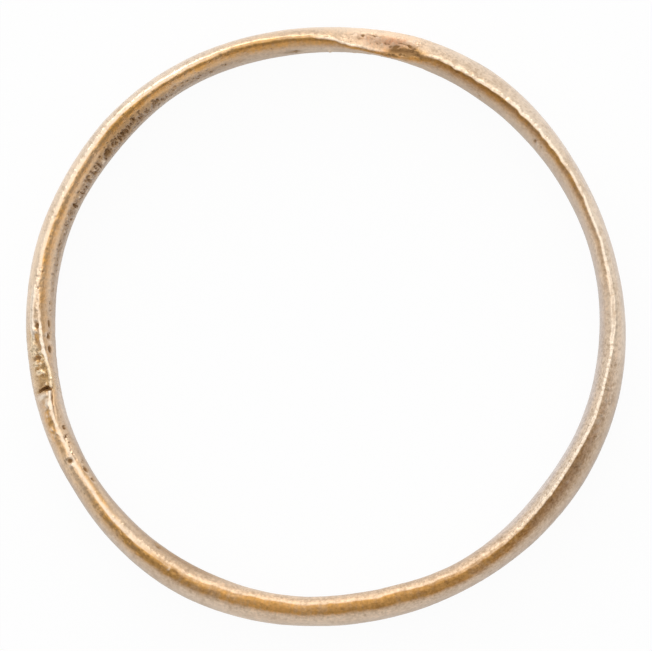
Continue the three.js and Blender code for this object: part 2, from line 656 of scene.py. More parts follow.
    def raise_ridges(self, skin: SkinPoints) -> Array:
        """Adds up how far the ridges stand out at each point, in millimetres."""
        height = np.zeros(len(skin.azimuth))
        for ridge in self.wear.ridges:
            places = ridge.shares.items()
            ways = {azimuth: self.ways_at(azimuth, share)[0] for azimuth, share in places}
            middle = skin.read(ways) if ways else 0.0
            across = (skin.way - middle) / ridge.half_width
            height += skin.read(ridge.heights) * np.exp(-(across**4))
        return height

    def unevenness(self, skin: SkinPoints) -> Array:
        """The hammered waves and the fine grain of the surface, in millimetres."""
        fine = skin.read(self.wear.roughness)
        heights = np.empty(len(skin.azimuth))
        for index, point in enumerate(skin.place):
            here = Vector(point)
            waves = noise.fractal(here * self.hammer_scale, 1.0, 2.0, 2) * self.hammering
            grain = noise.fractal(here * self.grain_scale, 0.6, 2.1, 3) * fine[index]
            heights[index] = waves + grain
        return heights

    def gold_and_painted_shade(self, skin: SkinPoints) -> Array:
        """How golden brown each point is beside the crest, partly as painted shade, and on the golden
        places.
        """
        reach = skin.read(self.wear.gold_and_shade_reach)
        band = self.wear.gold_and_painted_shade.on(skin) * np.exp(-((np.abs(skin.way) / reach) ** 3))
        return np.clip(band + self.carve(skin, self.wear.gilts), 0.0, 1.0)

    def painted_shading(self, skin: SkinPoints) -> Array:
        """The painted light and shade at each point: how much darker than its colour it is, 1 for a
        quarter, and lighter where negative.
        """
        band = skin.read(self.wear.painted_shading) * self.gold_and_painted_shade(skin)
        inside = skin.read(self.wear.bore_painted_shading)
        inside = np.minimum(inside, inside * self.bore_dark_share)
        face = skin.by_side(skin.read(self.wear.outer_painted_shading), inside)
        return band + face * smooth(*self.face_margin, np.abs(skin.way))

    def in_bore(self, skin: SkinPoints, table: Table) -> Array:
        """Reads a table for the bore, where it is above zero."""
        return np.clip(skin.read(table), 0.0, 1.0) * smooth(*self.face_margin, -skin.way)

    def grain(self, skin: SkinPoints) -> Array:
        """How coarse the grain is at each point, least towards mid-height."""
        plain = self.plain_share * smooth(*self.plain_margin, np.abs(skin.way))
        return skin.read(self.wear.grain) * (1.0 - plain)

    def notes(self, skin: SkinPoints, depth: Array, ridges: Array) -> dict:
        """Lists what the finishes read on every vertex.

        Args:
            skin: the piece's skin.
            depth: how deep its marks go.
            ridges: how far its ridges stand out.

        Returns:
            The values of each attribute, by its name.
        """
        wear = self.wear
        return {
            "azimuth": skin.azimuth,
            "over_skin": skin.way,
            "sunk": depth,
            "rubbed": np.clip((ridges - np.minimum(depth, 0.0)) / self.full_rub, 0.0, 1.0),
            "film": wear.film.on(skin),
            # Partly the metal's golden colour, partly painted shade.
            "gold_and_painted_shade": self.gold_and_painted_shade(skin),
            # Painted light and shade.
            "painted_shading": self.painted_shading(skin),
            # Painted shade in the bore, shown as brown.
            "brown": self.in_bore(skin, wear.bore_painted_shading),
            "ash": self.in_bore(skin, wear.bore_ash),
            "grain": self.grain(skin),
            "dull": skin.read(wear.dullness),
            "stain": self.carve(skin, wear.stains),
            "blush": self.carve(skin, wear.blushes),
        }


# Modelling on the bench


class Bench:
    """Models a piece with Blender's own tools, in millimetres."""

    @staticmethod
    def take(piece: bpy.types.Object | None = None) -> None:
        """Selects one object alone, or none."""
        bpy.ops.object.select_all(action="DESELECT")
        if piece:
            piece.select_set(True)
            bpy.context.view_layer.objects.active = piece

    @staticmethod
    def face_outwards(merge: float = 0.0) -> None:
        """Turns all normals outwards, after merging vertices nearer than a distance."""
        bpy.ops.object.mode_set(mode="EDIT")
        bpy.ops.mesh.select_all(action="SELECT")
        if merge > 0.0:
            bpy.ops.mesh.remove_doubles(threshold=merge)
        bpy.ops.mesh.normals_make_consistent(inside=False)
        bpy.ops.object.mode_set(mode="OBJECT")

    @classmethod
    def spun_loop(cls, name: str, loop: Array, angle: float, steps: int) -> bpy.types.Object:
        """Sets a circle to a section and turns it about the finger's axis.

        Args:
            name: the new piece's name.
            loop: the section's points.
            angle: how far it is spun, in degrees.
            steps: facets along the spin.

        Returns:
            The new object, still in object mode and open at its ends.
        """
        cls.take()
        bpy.ops.mesh.primitive_circle_add(vertices=len(loop), radius=1.0, fill_type="NOTHING")
        piece = bpy.context.active_object
        piece.name = name
        piece.data.name = name
        piece.data.vertices.foreach_set("co", loop.astype(np.float32).ravel())
        bpy.ops.object.modifier_add(type="SCREW")
        lathe = piece.modifiers[-1]
        lathe.axis = "Z"
        lathe.angle = math.radians(angle)
        lathe.steps = steps
        lathe.render_steps = steps
        lathe.use_smooth_shade = True
        bpy.ops.object.modifier_apply(modifier=lathe.name)
        cls.face_outwards()
        return piece

    @classmethod
    def cut(cls, piece: bpy.types.Object, plane: SeamPlane) -> None:
        """Saws off what lies beyond a seam, where its normal points, and closes the cut."""
        cls.take(piece)
        cls.select_near(piece, plane.point)
        bpy.ops.mesh.bisect(
            plane_co=plane.point, plane_no=plane.normal, use_fill=True, clear_outer=True
        )
        bpy.ops.object.mode_set(mode="OBJECT")

    @staticmethod
    def select_near(piece: bpy.types.Object, point: Vector, reach: float = 4.0) -> None:
        """Goes to edit mode with only the part of a piece near a point selected."""
        bpy.ops.object.mode_set(mode="EDIT")
        bpy.ops.mesh.select_mode(type="VERT")
        bpy.ops.mesh.select_all(action="DESELECT")
        bpy.ops.object.mode_set(mode="OBJECT")
        gap = np.linalg.norm(points_of(piece.data)[:, :2] - np.array(point)[:2], axis=1)
        piece.data.vertices.foreach_set("select", gap < reach)
        bpy.ops.object.mode_set(mode="EDIT")
        bpy.ops.mesh.select_mode(type="FACE")
        bpy.ops.mesh.select_mode(type="VERT")

    @classmethod
    def finish(cls, piece: bpy.types.Object, merge: float = 0.0005, sharp: float = 50.0) -> None:
        """Smooths the shading, and brings the piece from millimetres to metres.

        Args:
            piece: the piece to finish.
            merge: how near vertices are that become one, in millimetres.
            sharp: the least angle between facets that stays an edge, in degrees.
        """
        cls.take(piece)
        cls.face_outwards(merge)
        bpy.ops.object.shade_smooth_by_angle(angle=math.radians(sharp))
        piece.data.transform(Matrix.Scale(MM, 4))
        piece.data.update()


@dataclass(frozen=True)
class Dressing:
    """How one piece of the hoop is made and finished.

    Args:
        slot: the name of its finish in the frame.
        metal: its finish.
        facet: the length of its facets round the hoop, in degrees.
        own_marks: marks in this piece alone.
    """

    slot: str
    metal: "RingMetal"
    facet: float
    own_marks: Marks = ()


@dataclass
class HoopPiece:
    """One strip or fill of the hoop.

    Args:
        strip: which piece it is.
        smith: works its surface.
        dressing: how it is made.
        first: the seam at its smaller azimuth, with the normal off the piece.
        last: the seam at its larger azimuth, with the normal off the piece.
        run_on: how far the spin goes past the seams, in degrees.
        slack: how far before its start a spun vertex may lie by rounding, in degrees.
        batch: how many vertices are matched to the section at a time.
    """

    strip: Strip
    smith: RingSmith
    dressing: Dressing
    first: SeamPlane
    last: SeamPlane
    run_on: float = 10.0
    slack: float = 1.0
    batch: int = 20000

    def build(self) -> bpy.types.Object:
        """Models the piece.

        Returns:
            The finished object, in metres, at the origin.
        """
        start = self.first.azimuth - self.run_on
        span = (self.last.azimuth - self.first.azimuth) % FULL_TURN + 2.0 * self.run_on
        steps = int(span / self.dressing.facet)
        loop, flat_loop = self.smith.master_loop(start)
        piece = Bench.spun_loop(self.strip.value + "_worn", loop, span, steps)
        skin = self.read_skin(piece, start, flat_loop)
        own_marks = self.dressing.own_marks
        depth = self.smith.carve(skin, [*self.smith.wear.all_marks(), *own_marks])
        ridges = self.smith.raise_ridges(skin)
        height = self.smith.unevenness(skin) + ridges - depth
        place = skin.place + skin.outward * height[:, None]
        place = np.clip(place, np.array(CAD_BOX[0]) / MM, np.array(CAD_BOX[1]) / MM)
        piece.data.vertices.foreach_set("co", place.astype(np.float32).ravel())
        for name, values in self.smith.notes(skin, depth, ridges).items():
            attribute = piece.data.attributes.new(name, "FLOAT", "POINT")
            attribute.data.foreach_set("value", values.astype(np.float32))
        Bench.cut(piece, self.first)
        Bench.cut(piece, self.last)
        Bench.finish(piece)
        return piece

    def read_skin(self, piece: bpy.types.Object, start: float, flat_loop: Array) -> SkinPoints:
        """Finds each spun vertex's azimuth and section point, and puts it on the worn hoop."""
        spun = points_of(piece.data)
        turned = np.degrees(np.arctan2(spun[:, 1], spun[:, 0]))
        azimuth = (turned - start + self.slack) % FULL_TURN + start - self.slack
        offset = np.hypot(spun[:, 0], spun[:, 1]) - self.smith.mean_radius
        height = spun[:, 2] - self.smith.course.mid_height
        nearest = np.empty(len(spun), int)
        for begin in range(0, len(spun), self.batch):
            part = slice(begin, begin + self.batch)
            gap = (offset[part, None] - flat_loop[None, :, 0]) ** 2
            gap = gap + (height[part, None] - flat_loop[None, :, 1]) ** 2
            nearest[part] = np.argmin(gap, axis=1)
        side, up = self.smith.section.stations()
        return self.smith.shape(azimuth, (side[nearest], up[nearest]))


# Shader maths


class Signal:
    """A socket of a node tree that shader maths is written with."""

    def __init__(self, graph: "Graph", socket: bpy.types.NodeSocket) -> None:
        """Wraps a socket of a graph."""
        self.graph = graph
        self.socket = socket

    def __add__(self, other: "Signal | float") -> "Signal":
        """Adds."""
        return self.graph.math("ADD", self, other)

    def __sub__(self, other: "Signal | float") -> "Signal":
        """Takes away."""
        return self.graph.math("SUBTRACT", self, other)

    def __mul__(self, other: "Signal | float") -> "Signal":
        """Multiplies."""
        return self.graph.math("MULTIPLY", self, other)

    def __rsub__(self, other: float) -> "Signal":
        """Takes away from a number."""
        return self.graph.math("SUBTRACT", other, self)

    __radd__ = __add__
    __rmul__ = __mul__

    def ramp(self, low: float, high: float) -> "Signal":
        """Eases from 0 at low to 1 at high."""
        return self.graph.node(
            "ShaderNodeMapRange",
            {"interpolation_type": "SMOOTHSTEP"},
            {"Value": self, "From Min": low, "From Max": high, "To Min": 0.0, "To Max": 1.0},
        )


class Graph:
    """Builds the node tree of a material or a world."""

    def __init__(self, owner: bpy.types.Material | bpy.types.World) -> None:
        """Clears the owner's tree."""
        owner.use_nodes = True
        self.tree = owner.node_tree
        self.tree.nodes.clear()

    def node(self, kind: str, settings: dict, inputs: dict, output: str | int = 0) -> Signal:
        """Adds a node.

        Args:
            kind: the node's type.
            settings: its settings, set before its sockets.
            inputs: a value or a signal for each socket, by name or number.
            output: which output the result reads.

        Returns:
            That output.
        """
        made = self.tree.nodes.new(kind)
        for name, value in settings.items():
            setattr(made, name, value)
        for name, value in inputs.items():
            if isinstance(value, Signal):
                self.tree.links.new(value.socket, made.inputs[name])
            else:
                made.inputs[name].default_value = value
        return Signal(self, made.outputs[output])

    def show(self, kind: str, shader: Signal) -> None:
        """Puts a shader into the tree's output node."""
        made = self.tree.nodes.new(kind)
        self.tree.links.new(shader.socket, made.inputs["Surface"])

    def math(self, operation: str, first: Signal | float, second: Signal | float) -> Signal:
        """Adds a Math node for two values."""
        return self.node("ShaderNodeMath", {"operation": operation}, {0: first, 1: second})

    def blend(self, factor: Signal | float, first: Signal | tuple, second: Signal | tuple) -> Signal:
        """Mixes two colours."""
        inputs = {0: factor, 6: first, 7: second}
        return self.node("ShaderNodeMix", {"data_type": "RGBA"}, inputs, 2)

    def toned_and_shaded(self, colour: Signal, tone: Signal) -> Signal:
        """Scales a colour by a tone, which holds random variation and painted light and shade: lighter
        above a tone of 1, up to a full red, or browner below it.
        """
        deep = self.math("MINIMUM", tone, 1.0)
        inputs = {
            "X": tone,
            "Y": tone * self.math("POWER", deep, 0.3),
            "Z": tone * self.math("POWER", deep, 0.7),
        }
        tint = self.node("ShaderNodeCombineXYZ", {}, inputs)
        lit = self.node("ShaderNodeVectorMath", {"operation": "MULTIPLY"}, {0: colour, 1: tint})
        limit = self.math("MAXIMUM", self.part(lit, "X"), 1.0)
        return self.node("ShaderNodeVectorMath", {"operation": "DIVIDE"}, {0: lit, 1: limit})

    def part(self, vector: Signal, axis: str) -> Signal:
        """One part of a vector, by its axis."""
        return self.node("ShaderNodeSeparateXYZ", {}, {"Vector": vector}, axis)

    def ray(self, kind: str) -> Signal:
        """1 for rays of a kind and 0 for others."""
        return self.node("ShaderNodeLightPath", {}, {}, kind)

    def attribute(self, name: str) -> Signal:
        """Reads a value kept on the piece's vertices."""
        return self.node("ShaderNodeAttribute", {"attribute_name": name}, {}, "Fac")

    def cells(self, vector: Signal, scale: float) -> Signal:
        """The way from the middle of a random cell, for cells of a size given per metre."""
        inputs = {"Vector": vector, "Scale": scale}
        return self.node("ShaderNodeTexVoronoi", {}, inputs, "Distance")

    def speckle(self, vector: Signal, scale: float, detail: float, rough: float = 0.6) -> Signal:
        """Noise round 0 at a scale given per metre, from -0.5 to 0.5."""
        inputs = {"Vector": vector, "Scale": scale, "Detail": detail, "Roughness": rough}
        return self.node("ShaderNodeTexNoise", {}, inputs, "Fac") - 0.5


def rgb(red: float, green: float, blue: float) -> tuple[float, float, float, float]:
    """A colour in linear light."""
    return (red, green, blue, 1.0)


@dataclass(frozen=True)
class RingMetal:
    """The finish of one piece: yellow metal, bare on the worn edge and filmed over elsewhere.

    Args:
        name: the finish's name.
        bare: the metal where wear keeps it clean.
        golden: the metal where it is golden brown, also in the band beside the crest that is partly painted
            shade.
        film: the pale film that dulls the faces.
        shade: the same film in the bore, darker as painted shade there.
        ash: the same film where it is greyest.
        umber: the brown that the bore turns to where its shade is painted.
        copper: the metal where it is coppery.
        earth: the grey-brown crust.
        patina: the brown that lies in hollows.
        warmth: how golden the rest is, from 0 to 1.
        roughness: its mean roughness.
        relief: height of the fine grain, in millimetres.
        cloud_scale: how many clouds of the film fill a metre.
        blotch_scale: the same for blotches.
        mottle_scale: the same for mottling.
        fine_scale: the same for the finest grain.
        pit_scale: the same for the pits of the crust.
        scratches: how many fine scratches fill a degree round the hoop and a millimetre across.
        dirt_per_depth: how much dirt a pit holds for each millimetre of its depth.
        painted_shading_share: the share of its light that full painted shade takes away.
        film_gloss: the roughness of the film's own sheen.
    """

    name: str
    bare: tuple = rgb(0.99, 0.84, 0.68)
    golden: tuple = rgb(0.65, 0.355, 0.115)
    film: tuple = rgb(0.83, 0.635, 0.455)
    shade: tuple = rgb(0.73, 0.545, 0.375)
    ash: tuple = rgb(0.74, 0.615, 0.535)
    umber: tuple = rgb(0.50, 0.285, 0.10)
    copper: tuple = rgb(0.55, 0.36, 0.23)
    earth: tuple = rgb(0.43, 0.26, 0.12)
    patina: tuple = rgb(0.32, 0.17, 0.06)
    warmth: float = 0.1
    roughness: float = 0.28
    relief: float = 0.018
    cloud_scale: float = 420.0
    blotch_scale: float = 2400.0
    mottle_scale: float = 9000.0
    fine_scale: float = 20000.0
    pit_scale: float = 6000.0
    scratches: tuple[float, float] = (1.5, 2.2)
    dirt_per_depth: float = 20.0
    painted_shading_share: float = 0.25
    film_gloss: float = 0.22

    def over_band(self, graph: Graph) -> Signal:
        """A place for noise that is drawn out across the band, so that it makes fine scratches."""
        round_hoop = graph.attribute("azimuth") * self.scratches[0]
        across = graph.attribute("over_skin") * self.scratches[1]
        return graph.node("ShaderNodeCombineXYZ", {}, {"X": round_hoop, "Y": across, "Z": 0.0})

    def make(self) -> bpy.types.Material:
        """Builds the material.

        Returns:
            The new material.
        """
        material = bpy.data.materials.new(self.name)
        graph = Graph(material)
        place = graph.node("ShaderNodeTexCoord", {}, {}, "Object")
        clouds = graph.speckle(place, self.cloud_scale, 3.0, 0.55)
        blotch = graph.speckle(place, self.blotch_scale, 3.0)
        mottle = graph.speckle(place, self.mottle_scale, 3.0)
        fine = graph.speckle(place, self.fine_scale, 2.0)
        streaks = graph.speckle(self.over_band(graph), 1.0, 3.0)
        grain = graph.attribute("grain")
        unrubbed = 1.0 - graph.attribute("rubbed")
        crust = (graph.attribute("stain") * (1.0 + blotch * 2.0)).ramp(0.1, 0.9) * unrubbed
        pits = (crust - 0.2) * (1.0 - graph.cells(place, self.pit_scale).ramp(0.1, 0.5))
        hollow = graph.attribute("sunk") * self.dirt_per_depth + mottle * 0.6
        dirt = graph.math("MAXIMUM", hollow.ramp(0.35, 1.3), pits.ramp(0.1, 0.7))
        worn = 1.0 + streaks * 0.5 + blotch * 0.8 + clouds * 0.6
        # The golden-brown band beside the crest: partly the metal's colour, partly painted shade on the
        # side away from the light.
        band = graph.attribute("gold_and_painted_shade") * worn * unrubbed
        gold_and_painted_shade = graph.math("MAXIMUM", band, (clouds + self.warmth) * unrubbed)
        coppery = graph.attribute("blush") * (0.7 + blotch * 1.6 + mottle * 1.6)
        patches = 1.0 + blotch * 0.5 + clouds + streaks * 0.6
        filmed = graph.attribute("film") * patches * (1.0 - band) * unrubbed
        tone = 1.0 + mottle * (0.3 + grain * 0.9) + blotch * 0.6 + streaks * 0.5
        # Painted light and shade: negative values lighten the colour, positive ones darken it.
        painted_shading_factor = 1.0 - graph.attribute("painted_shading") * self.painted_shading_share
        inward = 1.0 - graph.attribute("over_skin").ramp(-0.5, -0.1)
        metal = graph.blend(gold_and_painted_shade, self.bare, self.golden)
        ash = graph.attribute("ash")
        # The bore's film takes the darker shade colour, as painted shade in the bore.
        lining = graph.blend(ash, self.shade, self.ash)
        facing = graph.blend(ash * 0.5, self.film, self.ash)
        veil = graph.blend(inward, facing, lining)
        shaded = graph.blend(filmed, metal, veil)
        # Painted shade in the bore, shown as a turn to brown.
        browned = graph.blend(graph.attribute("brown") * (0.85 + blotch), shaded, self.umber)
        warmed = graph.blend(coppery, browned, self.copper)
        earthy = graph.blend(crust * 0.8, warmed, self.earth)
        # Random tone and the painted light and shade scale the colour.
        toned = graph.toned_and_shaded(earthy, tone * painted_shading_factor)
        colour = graph.blend(dirt, toned, self.patina)
        dulled = graph.attribute("dull") + coppery * 0.2 + dirt * 0.3
        relief = (fine * 0.8 + mottle * 0.8 + streaks * 0.3) * (0.15 + grain * 0.85) - pits * 2.5
        bumps = {"Strength": 1.0, "Distance": self.relief * MM, "Height": relief}
        inputs = {
            "Base Color": colour,
            "Metallic": 1.0 - dirt * 0.7,
            "Roughness": self.roughness + streaks * 0.15 + dulled,
            "Coat Weight": filmed * (1.0 - dirt),
            "Coat Roughness": self.film_gloss,
            "Normal": graph.node("ShaderNodeBump", {}, bumps),
        }
        shader = graph.node("ShaderNodeBsdfPrincipled", {}, inputs)
        graph.show("ShaderNodeOutputMaterial", shader)
        return material


# The studio


def put_in_scene(data: bpy.types.ID) -> bpy.types.Object:
    """Makes an object of a lamp's or a camera's data, under the same name."""
    made = bpy.data.objects.new(data.name, data)
    bpy.context.scene.collection.objects.link(made)
    return made


@dataclass(frozen=True)
class Softbox:
    """A lamp behind white cloth, aimed at the ring.

    Args:
        azimuth: where it stands, in degrees.
        elevation: how high it stands, in degrees.
        distance: from the ring, in metres.
        width: of its face, in metres.
        height: of its face, in metres.
        strength: how bright its face is, where 1 is white.
    """

    azimuth: float
    elevation: float
    distance: float
    width: float
    height: float
    strength: float

    def hang(self, name: str) -> None:
        """Hangs the lamp."""
        data = bpy.data.lights.new(name, "AREA")
        data.shape = "RECTANGLE"
        data.size = self.width
        data.size_y = self.height
        data.energy = self.strength * math.pi * self.width * self.height
        lamp = put_in_scene(data)
        towards = direction(self.azimuth, self.elevation)
        lamp.location = towards * self.distance
        lamp.rotation_euler = towards.to_track_quat("Z", "Y").to_euler()


@dataclass
class Tent:
    """The white room round the table, dimmer low down and on the viewer's side.

    Args:
        overhead: the light from straight above.
        bright: the light from low down on the window's side.
        dim: the light from low down on the other side.
        window_azimuth: where the bright side is, in degrees.
        side_edge: between which directions the dim side turns bright, -1 dimmest to 1 brightest.
        roof_edge: between which heights the sides turn to the roof, 1 for straight up.
    """

    overhead: float = 1.42
    bright: float = 0.92
    dim: float = 0.4
    window_azimuth: float = 97.0
    side_edge: tuple[float, float] = (-0.45, 0.35)
    roof_edge: tuple[float, float] = (0.5, 0.92)

    def hang(self) -> None:
        """Builds the world."""
        world = bpy.data.worlds.new("light_tent")
        bpy.context.scene.world = world
        graph = Graph(world)
        way = graph.node("ShaderNodeTexCoord", {}, {}, "Generated")
        east, north, up = (graph.part(way, axis) for axis in "XYZ")
        turn = math.radians(self.window_azimuth)
        towards = east * math.cos(turn) + north * math.sin(turn)
        around = self.dim + towards.ramp(*self.side_edge) * (self.bright - self.dim)
        light = around + up.ramp(*self.roof_edge) * (self.overhead - around)
        strength = light + graph.ray("Is Camera Ray") * (1.0 - light)
        shade = graph.node("ShaderNodeBackground", {}, {"Strength": strength})
        graph.show("ShaderNodeOutputWorld", shade)


@dataclass
class Studio:
    """The white table, the lights and the camera.

    Args:
        distance: from the ring to the camera, in metres.
        azimuth: of the camera as the viewing tool counts it, in degrees.
        elevation: of the camera, in degrees.
        frame_width: what the picture spans at the ring, in metres.
        aim: how far beside the ring's middle it aims, in metres.
        white: how much of the table's look is plain white in the picture.
        white_in_metal: the same as the metal reflects it.
        paper: the table's colour.
        paper_roughness: the table's roughness.
        table_size: the table's side, in metres.
    """

    distance: float = 0.3
    azimuth: float = 45.0
    elevation: float = 82.4
    frame_width: float = 0.02161
    aim: tuple[float, float] = (0.0000344, 0.0000106)
    white: float = 0.95
    white_in_metal: float = 0.12
    paper: tuple = rgb(0.82, 0.82, 0.82)
    paper_roughness: float = 0.55
    table_size: float = 1.2

    def build(self) -> None:
        """Sets everything up."""
        Tent().hang()
        window = Softbox(
            azimuth=102.0, elevation=32.0, distance=0.4, width=0.45, height=0.2, strength=1.9
        )
        window.hang("window")
        self.lay_table()
        self.place_camera()
        bpy.context.scene.view_settings.view_transform = "Standard"

    def lay_table(self) -> None:
        """Lays the white table that keeps the ring's shadow."""
        Bench.take()
        low = CAD_BOX[0].z
        bpy.ops.mesh.primitive_plane_add(size=self.table_size, location=(0.0, 0.0, low))
        table = bpy.context.active_object
        table.name = "table"
        material = bpy.data.materials.new("white_table")
        graph = Graph(material)
        mirrored = graph.ray("Is Glossy Ray") * self.white_in_metal
        share = graph.ray("Is Camera Ray") * self.white + mirrored
        inputs = {"Base Color": self.paper, "Roughness": self.paper_roughness}
        paper = graph.node("ShaderNodeBsdfPrincipled", {}, inputs)
        white = graph.node("ShaderNodeEmission", {}, {"Strength": 1.0})
        mixed = graph.node("ShaderNodeMixShader", {}, {0: share, 1: paper, 2: white})
        graph.show("ShaderNodeOutputMaterial", mixed)
        table.data.materials.append(material)

    def place_camera(self) -> None:
        """Puts the camera nearly over the ring, leaning to the picture's lower right."""
        data = bpy.data.cameras.new("camera")
        camera = put_in_scene(data)
        bpy.context.scene.camera = camera
        back = direction(self.azimuth - 90.0, self.elevation)
        up = (Vector((0.0, 1.0, 0.0)) - back * back.y).normalized()
        right = up.cross(back)
        middle = (CAD_BOX[0] + CAD_BOX[1]) / 2.0 + right * self.aim[0] + up * self.aim[1]
        turned = Matrix((right, up, back)).transposed().to_4x4()
        camera.matrix_world = Matrix.Translation(middle + back * self.distance) @ turned
        data.sensor_width = 36.0
        data.lens = data.sensor_width * self.distance / self.frame_width
        data.clip_start = self.distance * 0.05
        data.clip_end = self.distance * 100.0


# The ring


def marks(*rows: tuple) -> Marks:
    """Makes marks of rows of their values, in the order that Mark has them."""
    return tuple(Mark(*row) for row in rows)


